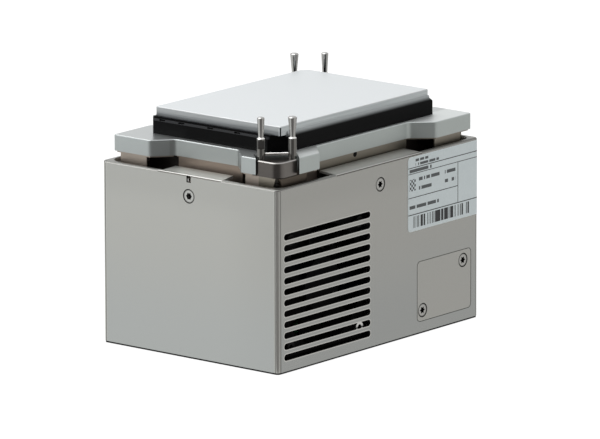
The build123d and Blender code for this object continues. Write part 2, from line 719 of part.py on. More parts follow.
# ---------------------------------------------------------------- clamps
for side, plane_of in (("near", near), ("far", far)):
    with BuildPart() as clamp_block:
        with BuildSketch(plane_of(90.2)):
            with BuildLine():
                Polyline((-83.08, 0.4), (-74.28, 9.2), (-67.9, 9.2), (-67.9, -9.2),
                         (-73.49, -9.2), close=True)
            make_face()
        extrude(amount=7.2)
        fillet(clamp_block.edges().filter_by(Axis.Z).sort_by_distance(
            plane_of(93.8).from_local_coords(Vector(-83.08, 0.4, 0)))[0:1], 5.0)
        fillet(clamp_block.edges().filter_by(Axis.Z).sort_by_distance(
            plane_of(93.8).from_local_coords(Vector(-74.28, 9.2, 0)))[0:1], 1.0)
        fillet(clamp_block.edges().filter_by(Axis.Z).sort_by_distance(
            plane_of(93.8).from_local_coords(Vector(-73.49, -9.2, 0)))[0:1], 1.0)
        chamfer(clamp_block.faces().sort_by(Axis.Z)[-1].edges(), 0.5)
        with BuildSketch(plane_of(91.0)):
            with Locations((pin_s, pin_w), (pin_s, -pin_w)):
                Circle(1.41)
        extrude(amount=8, mode=Mode.SUBTRACT)
    save(clamp_block, "clamp_block_" + side)

    with BuildPart() as clamp_pins:
        for w, head in ((-pin_w, 2.1), (pin_w, 1.75)):
            with BuildSketch(plane_of(91.1)):
                with Locations((pin_s, w)):
                    Circle(1.4)
            extrude(amount=6.4)
            with BuildSketch(plane_of(97.4)):
                with Locations((pin_s, w)):
                    Circle(pin_r)
            extrude(amount=9.6)
            with BuildSketch(plane_of(107.0)):
                with Locations((pin_s, w)):
                    Circle(pin_r)
            with BuildSketch(plane_of(107.6)):
                with Locations((pin_s, w)):
                    Circle(waist_r)
            loft()
            with BuildSketch(plane_of(107.6)):
                with Locations((pin_s, w)):
                    Circle(waist_r)
            with BuildSketch(plane_of(pin_top - 0.4)):
                with Locations((pin_s, w)):
                    Circle(head)
            loft()
            with BuildSketch(plane_of(pin_top - 0.4)):
                with Locations((pin_s, w)):
                    Circle(head)
            with BuildSketch(plane_of(pin_top)):
                with Locations((pin_s, w)):
                    Circle(head - 0.5)
            loft()
        # spanner flat on one pin
        with BuildSketch(plane_of(102.4)):
            with Locations((pin_s - 2.1, pin_w)):
                Rectangle(1.6, 5)
        extrude(amount=3.9, mode=Mode.SUBTRACT)
        # tie bar between the two pins
        with BuildSketch(Plane(plane_of(99.8).from_local_coords(Vector(pin_s, -pin_w, 0)),
                               x_dir=(0, 0, 1), z_dir=plane_of(0).y_dir)):
            Circle(0.55)
        extrude(amount=2 * pin_w)
    save(clamp_pins, "clamp_pins_" + side)

    with BuildPart() as clamp_arm:
        with BuildSketch(plane_of(86.4)):
            with Locations((-69.0, 0)):
                Rectangle(8.0, 12.0)
        extrude(amount=3.8)
        with BuildSketch(plane_of(77.5)):
            with Locations((-66.0, 0)):
                Rectangle(2.0, 9.0)
        extrude(amount=8.9)
        with BuildSketch(Plane(plane_of(81.5).from_local_coords(Vector(-65.0, 0, 0)),
                               x_dir=(0, 0, 1), z_dir=plane_of(0).x_dir)):
            Circle(2.25)
        extrude(amount=9.0)
    save(clamp_arm, "clamp_arm_" + side)

    with BuildPart() as clamp_solenoid:
        with BuildSketch(plane_of(76.0)):
            with Locations((-57.25, 0)):
                Rectangle(8.5, 11.0)
        extrude(amount=frame_z - 76.0)
        with BuildSketch(Plane(plane_of(81.5).from_local_coords(Vector(-62.0, 0, 0)),
                               x_dir=(0, 0, 1), z_dir=plane_of(0).x_dir)):
            Circle(2.3)
        extrude(amount=8.0, mode=Mode.SUBTRACT)
    save(clamp_solenoid, "clamp_solenoid_" + side)

# ---------------------------------------------------------------- fan
with BuildPart() as fan_housing:
    with BuildSketch(Plane.XZ.offset(-fan_front_y)):
        with Locations((fan_x, fan_z)):
            RectangleRounded(fan_size, fan_size, 3)
            Circle(28.4, mode=Mode.SUBTRACT)
        with Locations((fan_x, fan_z)):
            with GridLocations(50, 50, 2, 2):
                Circle(2.15, mode=Mode.SUBTRACT)
    extrude(amount=-fan_t)
    with BuildSketch(Plane.XZ.offset(-fan_front_y - fan_t + 1.6)):
        with Locations((fan_x, fan_z)):
            Circle(12)
            Rectangle(58, 2.6)
            Rectangle(2.6, 58)
            Circle(1.55, mode=Mode.SUBTRACT)
    extrude(amount=-1.6)
save(fan_housing, "fan_housing")

with BuildPart() as fan_rotor:
    with BuildSketch(Plane.XZ.offset(-fan_front_y - 0.6)):
        with Locations((fan_x, fan_z)):
            Circle(12.5)
    extrude(amount=-6.8)
    with BuildSketch(Plane.XZ.offset(-fan_front_y - 7.4)):
        with Locations((fan_x, fan_z)):
            Circle(1.5)
    extrude(amount=-2.4)
    with Locations(Location((fan_x, fan_front_y + 4.2, fan_z), (90, 0, 0))):
        with PolarLocations(19.6, 7):
            Box(15.6, 10.0, 1.2, rotation=(32, 0, 0))
save(fan_rotor, "fan_rotor")

with BuildPart() as fan_bracket:
    with BuildSketch(Plane.XZ.offset(-fan_front_y - fan_t - 0.1)):
        with Locations((fan_x, fan_z)):
            Rectangle(fan_size, fan_size)
            Circle(28.0, mode=Mode.SUBTRACT)
            with GridLocations(50, 50, 2, 2):
                Circle(2.01, mode=Mode.SUBTRACT)
    extrude(amount=-1.4)
    with Locations((fan_x + 6, -36.5, 5.8)):
        Box(34, 5.0, 1.2)
save(fan_bracket, "fan_bracket")

with BuildPart() as fan_screws:
    with BuildSketch(Plane.XZ.offset(50.8)):
        with Locations((fan_x, fan_z)):
            with GridLocations(50, 50, 2, 2):
                Circle(2.6)
    extrude(amount=-1.4)
    with BuildSketch(Plane.XZ.offset(49.4)):
        with Locations((fan_x, fan_z)):
            with GridLocations(50, 50, 2, 2):
                Circle(2.0)
    extrude(amount=-13.0)
    with BuildSketch(Plane.XZ.offset(50.8)):
        with Locations((fan_x, fan_z)):
            with GridLocations(50, 50, 2, 2):
                RegularPolygon(1.3, 6)
    extrude(amount=-1.0, mode=Mode.SUBTRACT)
save(fan_screws, "fan_screws")

# ---------------------------------------------------------------- electronics
with BuildPart() as control_board:
    with BuildSketch(Plane.XY.offset(9)):
        with Locations((0, 3)):
            RectangleRounded(100, 66, 2)
        with Locations((-46, -26), (46, -26), (-46, 32), (46, 32)):
            Circle(1.4, mode=Mode.SUBTRACT)
    extrude(amount=1.6)
save(control_board, "control_board")

with BuildPart() as board_standoffs:
    with BuildSketch(Plane.XY.offset(base_t)):
        with Locations((-46, -26), (46, -26), (-46, 32), (46, 32)):
            Circle(2.8)
            Circle(1.3, mode=Mode.SUBTRACT)
    extrude(amount=4)
save(board_standoffs, "board_standoffs")

with BuildPart() as board_components:
    with BuildSketch(Plane.XY.offset(10.6)):
        Rectangle(14, 14)
        with Locations((-30, -16), (-30, -4), (28, -20), (18, -22)):
            Rectangle(8, 6)
    extrude(amount=1.6)
    with BuildSketch(Plane.XY.offset(10.6)):
        with Locations((-36, 24), (-26, 26), (36, 24)):
            Circle(4)
    extrude(amount=12)
    with BuildSketch(Plane.XY.offset(10.6)):
        with Locations((34, 6)):
            RectangleRounded(11, 11, 2)
        with Locations((38, -18), (20, 32), (-4, 32)):
            Rectangle(12, 6)
    extrude(amount=7)
save(board_components, "board_components")

with BuildPart() as power_socket:
    with Locations((length / 2 - 6.3, 26, 20)):
        Box(12.4, 18, 11)
    with Locations((length / 2 - 4.1, 26, 20)):
        Box(8.01, 14, 7, mode=Mode.SUBTRACT)
save(power_socket, "power_socket")

with BuildPart() as data_socket:
    with Locations((length / 2 - 6.3, -24, 20)):
        Box(12.4, 20, 11)
    with Locations((length / 2 - 3.1, -24, 20)):
        Box(6.01, 16, 7, mode=Mode.SUBTRACT)
save(data_socket, "data_socket")

with BuildPart() as home_sensor:
    with Locations((0, 29.3, 44)):
        Box(9, 7, 4)
save(home_sensor, "home_sensor")
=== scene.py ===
import math

import bpy
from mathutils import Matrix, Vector

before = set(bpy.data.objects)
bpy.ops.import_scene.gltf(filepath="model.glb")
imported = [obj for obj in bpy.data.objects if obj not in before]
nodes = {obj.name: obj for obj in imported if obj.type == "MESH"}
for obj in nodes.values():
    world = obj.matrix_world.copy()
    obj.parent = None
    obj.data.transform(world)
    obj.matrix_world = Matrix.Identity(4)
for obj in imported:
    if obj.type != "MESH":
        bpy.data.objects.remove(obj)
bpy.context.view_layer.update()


# ------------------------------------------------------------ node helpers
class Mat:
    """A small wrapper for building one procedural material."""

    def __init__(self, name):
        self.m = bpy.data.materials.new(name)
        self.m.use_nodes = True
        self.t = self.m.node_tree
        self.t.nodes.clear()
        self.out = self.t.nodes.new("ShaderNodeOutputMaterial")
        self.p = self.t.nodes.new("ShaderNodeBsdfPrincipled")
        self.t.links.new(self.p.outputs[0], self.out.inputs[0])
        self.coord = self.t.nodes.new("ShaderNodeTexCoord").outputs["Object"]

    def link(self, a, b):
        self.t.links.new(a, b)

    def put(self, sock, value):
        if isinstance(value, bpy.types.NodeSocket):
            self.t.links.new(value, sock)
        else:
            sock.default_value = value

    def math(self, op, a, b=0.0, c=None, clamp=False):
        n = self.t.nodes.new("ShaderNodeMath")
        n.operation = op
        n.use_clamp = clamp
        self.put(n.inputs[0], a)
        self.put(n.inputs[1], b)
        if c is not None:
            self.put(n.inputs[2], c)
        return n.outputs[0]

    def map(self, scale=(1, 1, 1), rot=(0, 0, 0), loc=(0, 0, 0)):
        n = self.t.nodes.new("ShaderNodeMapping")
        n.inputs["Scale"].default_value = scale
        n.inputs["Rotation"].default_value = rot
        n.inputs["Location"].default_value = loc
        self.link(self.coord, n.inputs["Vector"])
        return n.outputs[0]

    def noise(self, vec, scale, detail=3.0, rough=0.55, distort=0.0):
        n = self.t.nodes.new("ShaderNodeTexNoise")
        n.inputs["Scale"].default_value = scale
        n.inputs["Detail"].default_value = detail
        n.inputs["Roughness"].default_value = rough
        n.inputs["Distortion"].default_value = distort
        self.link(vec, n.inputs["Vector"])
        return n.outputs["Fac"]

    def ramp(self, fac, stops):
        n = self.t.nodes.new("ShaderNodeValToRGB")
        e = n.color_ramp.elements
        while len(e) < len(stops):
            e.new(0.5)
        for i, (pos, col) in enumerate(stops):
            e[i].position = pos
            e[i].color = (*col, 1.0) if len(col) == 3 else col
        self.link(fac, n.inputs[0])
        return n.outputs[0]

    def rng(self, fac, lo, hi, a=0.0, b=1.0):
        n = self.t.nodes.new("ShaderNodeMapRange")
        n.inputs["From Min"].default_value = a
        n.inputs["From Max"].default_value = b
        n.inputs["To Min"].default_value = lo
        n.inputs["To Max"].default_value = hi
        self.link(fac, n.inputs["Value"])
        return n.outputs["Result"]

    def mix(self, fac, a, b):
        n = self.t.nodes.new("ShaderNodeMix")
        n.data_type = "RGBA"
        self.put(n.inputs[0], fac)
        for sock, v in ((n.inputs[6], a), (n.inputs[7], b)):
            if isinstance(v, bpy.types.NodeSocket):
                self.link(v, sock)
            else:
                sock.default_value = (*v, 1.0)
        return n.outputs[2]

    def bump(self, height, strength, distance):
        n = self.t.nodes.new("ShaderNodeBump")
        n.inputs["Strength"].default_value = strength
        n.inputs["Distance"].default_value = distance
        self.link(height, n.inputs["Height"])
        return n.outputs[0]

    def xyz(self):
        n = self.t.nodes.new("ShaderNodeSeparateXYZ")
        self.link(self.coord, n.inputs[0])
        return n.outputs[0], n.outputs[1], n.outputs[2]

    def set(self, **kw):
        names = {"color": "Base Color", "metal": "Metallic", "rough": "Roughness",
                 "spec": "Specular IOR Level", "normal": "Normal", "aniso": "Anisotropic",
                 "coat": "Coat Weight", "coat_rough": "Coat Roughness"}
        for k, v in kw.items():
            s = self.p.inputs[names[k]]
            if isinstance(v, bpy.types.NodeSocket):
                self.link(v, s)
            elif k == "color":
                s.default_value = (*v, 1.0)
            else:
                s.default_value = v
        return self


# scales a colour; used for random tone changes and for painted light and shade
def scale_colour(c, k):
    return tuple(min(1.0, x * k) for x in c)


def steel(name, base, rough=0.24, grain=(1, 1, 1), scale=900.0, depth=0.000012,
          var=0.05, blotch=0.05, smear=25.0, rv=1.0):
    """Ground or rolled metal: long fine grain, faint cloudy patches, light handling marks."""
    m = Mat(name)
    g = m.noise(m.map(grain), scale, 4.0, 0.65)
    g2 = m.noise(m.map(tuple(v * 0.31 for v in grain)), scale, 2.0, 0.5)
    cloud = m.noise(m.coord, smear, 3.0, 0.6, 0.4)
    c1 = m.mix(m.rng(g, 0.0, 1.0, 0.3, 0.7), scale_colour(base, 1 - var), scale_colour(base, 1 + var))
    c2 = m.mix(m.rng(cloud, 0.0, blotch * 4, 0.35, 0.7), c1, scale_colour(base, 1 - 2.2 * blotch))
    r = m.math("ADD", m.rng(g, rough - 0.03 * rv, rough + 0.05 * rv, 0.3, 0.7),
               m.rng(cloud, -0.02 * rv, 0.05 * rv, 0.3, 0.75))
    h = m.math("ADD", g, m.math("MULTIPLY", g2, 0.6))
    m.set(color=c2, metal=1.0, rough=r, normal=m.bump(h, 0.35, depth))
    return m


def band(m, v, lo, hi):
    return m.math("MULTIPLY", m.math("GREATER_THAN", v, lo), m.math("LESS_THAN", v, hi))


def soft(m, v, lo, hi):
    n = m.t.nodes.new("ShaderNodeMapRange")
    n.interpolation_type = "SMOOTHSTEP"
    n.inputs["From Min"].default_value = lo
    n.inputs["From Max"].default_value = hi
    m.link(v, n.inputs["Value"])
    return n.outputs["Result"]


def mm(m):
    return tuple(m.math("MULTIPLY", v, 1000.0) for v in m.xyz())


def tint(m, mask, color, rough=None, metal=None):
    """Lay a second colour and finish over the first where the mask is 1; used for real tones and for painted light and
    shade.
    """
    for key, value in (("Base Color", color), ("Roughness", rough), ("Metallic", metal)):
        if value is None:
            continue
        sock = m.p.inputs[key]
        links = list(sock.links)
        if key == "Base Color":
            old = links[0].from_socket
            m.link(m.mix(mask, old, value), sock)
        else:
            old = links[0].from_socket if links else sock.default_value
            n = m.t.nodes.new("ShaderNodeMix")
            n.data_type = "FLOAT"
            m.link(mask, n.inputs[0])
            m.put(n.inputs[2], old)
            m.put(n.inputs[3], value)
            m.link(n.outputs[0], sock)
    return m


def radius(m, a, b, ca, cb):
    da = m.math("SUBTRACT", a, ca)
    db = m.math("SUBTRACT", b, cb)
    return m.math("SQRT", m.math("ADD", m.math("MULTIPLY", da, da), m.math("MULTIPLY", db, db)))


def anodised(name, base, rough=0.42, fine=5200.0, depth=0.00001, metal=0.85, var=0.03, spec=0.5):
    """Bead-blasted, anodised aluminium: very fine grain, slight cloudiness."""
    m = Mat(name)
    g = m.noise(m.coord, fine, 2.0, 0.7)
    cloud = m.noise(m.coord, 38.0, 3.0, 0.6, 0.3)
    c1 = m.mix(m.rng(g, 0.0, 1.0, 0.3, 0.7), scale_colour(base, 1 - var), scale_colour(base, 1 + var))
    c2 = m.mix(m.rng(cloud, 0.0, 0.5, 0.35, 0.75), c1, scale_colour(base, 0.965))
    m.set(color=c2, metal=metal, rough=m.math("ADD", m.rng(g, rough - 0.02, rough + 0.03, 0.3, 0.7),
          m.rng(cloud, -0.03, 0.03, 0.3, 0.7)), spec=spec, normal=m.bump(g, 0.25, depth))
    return m


def moulded(name, base, rough=0.45, spec=0.3, fine=2600.0, depth=0.00003, var=0.12):
    """Injection-moulded plastic with a fine spark texture and faint flow marks."""
    m = Mat(name)
    g = m.noise(m.coord, fine, 2.0, 0.6)
    flow = m.noise(m.map((0.3, 1, 1)), 60.0, 3.0, 0.6, 0.8)
    c1 = m.mix(m.rng(g, 0.0, 1.0, 0.3, 0.7), scale_colour(base, 1 - var), scale_colour(base, 1 + var))
    c2 = m.mix(m.rng(flow, 0.0, 0.6, 0.45, 0.8), c1, scale_colour(base, 1.25))
    m.set(color=c2, rough=m.rng(flow, rough - 0.05, rough + 0.08, 0.3, 0.7), spec=spec,
          normal=m.bump(g, 0.3, depth))
    return m


def turned(name, base, rough=0.16, along="Z", depth=0.000008):
    """Turned or ground round parts: rings round the axis."""
    m = Mat(name)
    s = (0.02, 0.02, 1.0) if along == "Z" else ((0.02, 1.0, 0.02) if along == "Y" else (1.0, 0.02, 0.02))
    g = m.noise(m.map(s), 4200.0, 3.0, 0.6)
    cloud = m.noise(m.coord, 260.0, 3.0, 0.6)
    c = m.mix(m.rng(g, 0.0, 1.0, 0.3, 0.7), scale_colour(base, 0.93), scale_colour(base, 1.05))
    c = m.mix(m.rng(cloud, 0.0, 0.5, 0.45, 0.8), c, scale_colour(base, 0.85))
    m.set(color=c, metal=1.0, rough=m.rng(cloud, rough - 0.03, rough + 0.07, 0.3, 0.7),
          normal=m.bump(g, 0.3, depth))
    return m


def label(name):
    """Printed rating film: pale field, ruled boxes and a plain bar pattern, no words."""
    m = Mat(name)
    x, y, z = mm(m)

    def add(a, b):
        return m.math("MAXIMUM", a, b)

    ink = band(m, z, 80.0, 80.42)
    ink = add(ink, band(m, z, 77.2, 77.55))
    ink = add(ink, m.math("MULTIPLY", band(m, z, 65.8, 66.2), m.math("LESS_THAN", x, 58.4)))
    ink = add(ink, band(m, z, 57.65, 58.1))
    ink = add(ink, m.math("MULTIPLY", band(m, x, 58.15, 58.6), band(m, z, 57.8, 77.4)))
    ink = m.math("MULTIPLY", ink, m.math("GREATER_THAN", x, 21.1))
    # rows of plain dashes standing in for small print
    for k, (z0, z1, x0, x1, pitch, gap) in enumerate((
            (82.9, 84.1, 26.5, 36.0, 1.6, 0.25), (80.9, 82.1, 26.5, 44.0, 1.6, 0.25),
            (77.95, 79.5, 22.0, 38.5, 2.6, 0.15), (73.4, 75.0, 29.0, 44.5, 1.9, 0.2),
            (69.1, 70.7, 29.0, 38.5, 1.9, 0.2), (73.4, 75.0, 48.5, 56.5, 1.9, 0.2),
            (69.1, 70.7, 48.5, 56.5, 1.9, 0.2), (60.6, 62.2, 22.0, 44.0, 1.9, 0.2))):
        cell = m.t.nodes.new("ShaderNodeTexWhiteNoise")
        cell.noise_dimensions = "1D"
        m.link(m.math("ADD", m.math("FLOOR", m.math("MULTIPLY", x, 1.9 / pitch * 1.1)), 31.7 * (k + 1)), cell.inputs["W"])
        row = m.math("MULTIPLY", m.math("GREATER_THAN", cell.outputs["Value"], gap),
                     m.math("MULTIPLY", band(m, z, z0, z1), band(m, x, x0, x1)))
        ink = add(ink, m.math("MULTIPLY", row, 0.95))
    # small chequered square
    chk = m.t.nodes.new("ShaderNodeTexChecker")
    m.link(m.coord, chk.inputs["Vector"])
    chk.inputs["Scale"].default_value = 900.0
    square = m.math("MULTIPLY", band(m, x, 22.0, 26.6), band(m, z, 69.2, 74.8))
    ink = add(ink, m.math("MULTIPLY", square, m.math("MULTIPLY", chk.outputs["Fac"], 1.0)))
    # plain bars of several widths
    step = m.math("FLOOR", m.math("MULTIPLY", x, 1.75))
    n = m.t.nodes.new("ShaderNodeTexWhiteNoise")
    n.noise_dimensions = "1D"
    m.link(step, n.inputs["W"])
    bars = m.math("GREATER_THAN", n.outputs["Value"], 0.40)
    bars = m.math("MULTIPLY", bars, m.math("MULTIPLY", band(m, x, 24.8, 66.8), band(m, z, 51.5, 57.0)))
    grey = m.noise(m.coord, 900.0, 2.0, 0.5)
    field = m.mix(m.rng(grey, 0.0, 1.0, 0.3, 0.7), (0.690, 0.765, 0.785), (0.730, 0.805, 0.825))
    cloud = m.noise(m.coord, 60.0, 2.0, 0.5)
    field = m.mix(m.rng(cloud, 0.0, 0.35, 0.4, 0.7), field, (0.76, 0.83, 0.845))
    col = m.mix(m.math("MULTIPLY", ink, 0.94), field, (0.02, 0.022, 0.025))
    col = m.mix(m.math("MULTIPLY", bars, 0.98), col, (0.012, 0.012, 0.014))
    m.set(color=col, rough=m.rng(grey, 0.34, 0.42, 0.3, 0.7), spec=0.35,
          normal=m.bump(grey, 0.12, 0.00001))
    return m


# ------------------------------------------------------------ finishes and painted light
STEEL = (0.455, 0.455, 0.435)
casing_mat = steel("casing_steel", STEEL, 0.25, (1.0, 1.0, 0.04), 1500.0, 0.0000001, 0.003, 0.006, rv=0.12)
x, y, z = mm(casing_mat)
ax, ay = casing_mat.math("ABSOLUTE", x), casing_mat.math("ABSOLUTE", y)
# painted highlight: a thin bright rim round the punched slots
wrapped = casing_mat.math("SUBTRACT", casing_mat.math("FLOORED_MODULO",
                          casing_mat.math("SUBTRACT", z, 7.3 - 2.565), 5.13), 2.565)
run = casing_mat.math("MAXIMUM", casing_mat.math("SUBTRACT", casing_mat.math(
    "ABSOLUTE", casing_mat.math("ADD", x, 38.45)), 30.0), 0.0)
edge_d = casing_mat.math("SQRT", casing_mat.math("ADD", casing_mat.math("MULTIPLY", wrapped, wrapped),
                                                 casing_mat.math("MULTIPLY", run, run)))
slot_rim_highlight = casing_mat.math("MULTIPLY", casing_mat.math("LESS_THAN", edge_d, 1.98),
                           casing_mat.math("MULTIPLY", casing_mat.math("LESS_THAN", y, -52.3),
                                           band(casing_mat, z, 5.2, 65.9)))
# painted shade: the end faces darker towards -y, the long faces darker towards the bottom; the sheet is also a little
# darker near the top and cooler in tone towards the bottom
face_shade = casing_mat.math("MULTIPLY", casing_mat.math("GREATER_THAN", ax, 74.0),
                       casing_mat.math("SUBTRACT", 1.0, soft(casing_mat, y, -52.0, -14.0)))
tint(casing_mat, casing_mat.math("MULTIPLY", face_shade, 0.8), scale_colour(STEEL, 0.91))
face_shade = casing_mat.math("MULTIPLY", casing_mat.math("GREATER_THAN", ay, 52.3),
                       casing_mat.math("SUBTRACT", 1.0, soft(casing_mat, z, 5.0, 38.0)))
tint(casing_mat, casing_mat.math("MULTIPLY", face_shade, 0.8), scale_colour(STEEL, 0.92))
tint(casing_mat, casing_mat.math("MULTIPLY", soft(casing_mat, z, 68.0, 80.0), 0.7), scale_colour(STEEL, 0.93))
tint(casing_mat, casing_mat.math("MULTIPLY", casing_mat.math("SUBTRACT", 1.0, soft(casing_mat, z, 8.0, 62.0)), 0.55),
     (0.415, 0.437, 0.442))
tint(casing_mat, slot_rim_highlight, (0.62, 0.62, 0.60), 0.3)
# flat inner top (lip and flaps): duller, as cut and folded
within = casing_mat.math("MULTIPLY", casing_mat.math("LESS_THAN", ax, 73.5),
                         casing_mat.math("LESS_THAN", ay, 51.85))
inner = casing_mat.math("MULTIPLY", casing_mat.math("GREATER_THAN", z, 85.45), within)
tint(casing_mat, inner, (0.475, 0.475, 0.45), 0.48)
lip = casing_mat.math("MULTIPLY", inner, casing_mat.math("MULTIPLY", casing_mat.math("GREATER_THAN", ay, 19.1),
                                                         casing_mat.math("GREATER_THAN", ax, 31.6)))
tint(casing_mat, lip, (0.30, 0.30, 0.285), 0.42)
# painted light: the inside of the wall just below the lip is paler, as if lit
tint(casing_mat, casing_mat.math("MULTIPLY", band(casing_mat, z, 81.0, 86.3),
                                 casing_mat.math("MULTIPLY", casing_mat.math("LESS_THAN", ax, 73.3),
                                                 casing_mat.math("LESS_THAN", ay, 51.65))),
     (0.66, 0.65, 0.62), 0.6, 0.3)
# painted reflection: the vertical bends go from dark to bright across the bend
ub = casing_mat.math("MULTIPLY", casing_mat.math("SUBTRACT", ax, 72.15), 1 / 2.1, clamp=True)
wb_ = casing_mat.math("MULTIPLY", casing_mat.math("SUBTRACT", ay, 50.5), 1 / 2.1, clamp=True)
uw = casing_mat.math("MULTIPLY", casing_mat.math("MULTIPLY", ub, wb_), 2.0, clamp=True)
bend_reflection = casing_mat.mix(uw, scale_colour(STEEL, 0.15), scale_colour(STEEL, 1.38))
tint(casing_mat, casing_mat.math("MULTIPLY", casing_mat.math("GREATER_THAN", uw, 0.0),
                                 casing_mat.math("LESS_THAN", z, 85.9)), bend_reflection, 0.3)
# painted highlight: a thin bright line where the bend starts
tint(casing_mat, casing_mat.math("MULTIPLY", band(casing_mat, ay, 50.1, 50.5),
                                 casing_mat.math("GREATER_THAN", ax, 74.0)), scale_colour(STEEL, 1.12))
# painted shade: a dark line under the edge of the flaps, along the fold
flap_edge_shade = casing_mat.math("MULTIPLY", band(casing_mat, z, 85.75, 86.22),
                       casing_mat.math("MULTIPLY", casing_mat.math("GREATER_THAN", ay, 52.0),
                                       band(casing_mat, x, -31.6, 31.6)))
flap_edge_shade2 = casing_mat.math("MULTIPLY", band(casing_mat, z, 85.75, 86.22),
                        casing_mat.math("MULTIPLY", casing_mat.math("GREATER_THAN", ax, 73.7),
                                        band(casing_mat, y, -19.1, 19.1)))
slot = casing_mat.math("MULTIPLY", band(casing_mat, z, 83.0, 86.3),
                       casing_mat.math("MULTIPLY", casing_mat.math("LESS_THAN", x, -73.2),
                                       band(casing_mat, y, -1.0, 1.6)))
# painted shade: the folded edge is darkened to damp its highlight
fold_shade = casing_mat.math("MULTIPLY", soft(casing_mat, z, 85.6, 86.1), casing_mat.math("SUBTRACT", 1.0, inner))
tint(casing_mat, fold_shade, (0.335, 0.33, 0.315), 0.38)
# painted shade: outside the flaps the rolled edge is darkened to look as dull as the face
plain_y = casing_mat.math("MULTIPLY", casing_mat.math("GREATER_THAN", ay, 51.6), casing_mat.math("GREATER_THAN", ax, 31.8))
plain_x = casing_mat.math("MULTIPLY", casing_mat.math("GREATER_THAN", ax, 73.2), casing_mat.math("GREATER_THAN", ay, 19.3))
tint(casing_mat, casing_mat.math("MULTIPLY", soft(casing_mat, z, 85.7, 86.2), casing_mat.math("MAXIMUM", plain_y, plain_x)),
     (0.20, 0.20, 0.19), 0.40)
tint(casing_mat, casing_mat.math("MAXIMUM", flap_edge_shade, flap_edge_shade2), (0.13, 0.125, 0.115), 0.5)
tint(casing_mat, slot, (0.015, 0.015, 0.015), 0.6)
# painted highlight: a pale line along the leading edges of the flaps
flap_edge_highlight = casing_mat.math("MULTIPLY", casing_mat.math("GREATER_THAN", z, 86.25),
                       casing_mat.math("MAXIMUM",
                                       casing_mat.math("MULTIPLY", band(casing_mat, ay, 50.9, 52.4),
                                                       band(casing_mat, x, -31.6, 31.6)),
                                       casing_mat.math("MULTIPLY", band(casing_mat, ax, 72.7, 74.05),
                                                       band(casing_mat, y, -19.1, 19.1))))
tint(casing_mat, flap_edge_highlight, (0.55, 0.55, 0.53), 0.3)
# painted shade: dark countersinks round the screws
on_y = casing_mat.math("GREATER_THAN", ay, 50.0)
rs = radius(casing_mat, x, z, 0.5, 76.55)
countersink_shade = casing_mat.math("MULTIPLY", casing_mat.math("LESS_THAN", rs, 3.41), on_y)
rs2 = radius(casing_mat, y, z, 0.3, 76.55)
countersink_shade2 = casing_mat.math("MULTIPLY", casing_mat.math("LESS_THAN", rs2, 3.41),
                        casing_mat.math("GREATER_THAN", ax, 72.0))
countersink_shade = casing_mat.math("MAXIMUM", countersink_shade, countersink_shade2)
tint(casing_mat, countersink_shade, (0.02, 0.02, 0.02), 0.6)

cover_mat = steel("cover_steel", scale_colour(STEEL, 1.02), 0.25, (0.04, 1.0, 1.0), 1500.0, 0.0000001, 0.003, 0.006, rv=0.12)
x, y, z = mm(cover_mat)
# painted shade: dark countersinks round the cover screws
ra = radius(cover_mat, x, z, 62.5, 29.5)
rb = radius(cover_mat, x, z, 32.0, 11.0)
countersink_shade = cover_mat.math("LESS_THAN", cover_mat.math("MINIMUM", ra, rb), 3.41)
tint(cover_mat, countersink_shade, (0.02, 0.02, 0.02), 0.6)


def screws(name, centres):
    """Bright pan head; painted shade darkens the socket and a ring near its edge."""
    m = steel(name, (0.50, 0.50, 0.485), 0.2, (1, 1, 1), 2500.0, 0.000004, 0.05, 0.04, 200.0)
    x, y, z = mm(m)
    d = None
    socket_shade = None
    for axis, a, b in centres:
        u = x if axis == "y" else y
        rr = radius(m, u, z, a, b)
        gate = m.math("GREATER_THAN", m.math("ABSOLUTE", y if axis == "y" else x), 50.0 if axis == "y" else 70.0)
        rr = m.math("ADD", rr, m.math("MULTIPLY", m.math("SUBTRACT", 1.0, gate), 50.0))
        turn = m.math("ARCTAN2", m.math("SUBTRACT", z, b), m.math("SUBTRACT", u, a))
        lobes = m.math("ADD", m.math("MULTIPLY", m.math("COSINE", m.math("MULTIPLY", turn, 6.0)), 0.30), 1.45)
        hit = m.math("LESS_THAN", rr, lobes)
        d = rr if d is None else m.math("MINIMUM", d, rr)
        socket_shade = hit if socket_shade is None else m.math("MAXIMUM", socket_shade, hit)
    # painted shade in the star sockets
    tint(m, socket_shade, (0.012, 0.012, 0.012), 0.6)
    # painted shade in a ring near the edge of the head
    tint(m, band(m, d, 2.55, 3.2), (0.28, 0.28, 0.27), 0.3)
    return m


face_screw_mat = screws("face_screws", [("y", 0.5, 76.55), ("x", 0.3, 76.55)])
cover_screw_mat = screws("cover_screws", [("y", 62.5, 29.5), ("y", 32.0, 11.0)])
screw_mat = steel("screw_steel", (0.55, 0.54, 0.52), 0.2, (1, 1, 1), 2500.0, 0.000006, 0.05, 0.05, 200.0)

# fan screws: blackened, one bright washer ring
fan_screw_mat = moulded("fan_screws", (0.003, 0.003, 0.003), 0.5, 0.1)
x, y, z = mm(fan_screw_mat)
rf = radius(fan_screw_mat, x, z, -12.8, 11.0)
ring = band(fan_screw_mat, rf, 1.35, 2.7)
tint(fan_screw_mat, ring, (0.75, 0.75, 0.74), 0.25, 1.0)

warm_mat = steel("skirt_steel", (0.36, 0.315, 0.275), 0.42, (0.05, 0.05, 1.0), 1200.0, 0.000006,
                 0.08, 0.10, 90.0)
x, y, z = mm(warm_mat)
# painted shade: the front (-y) side of the skirt is darker
tint(warm_mat, warm_mat.math("LESS_THAN", y, -36.0), (0.315, 0.288, 0.245))
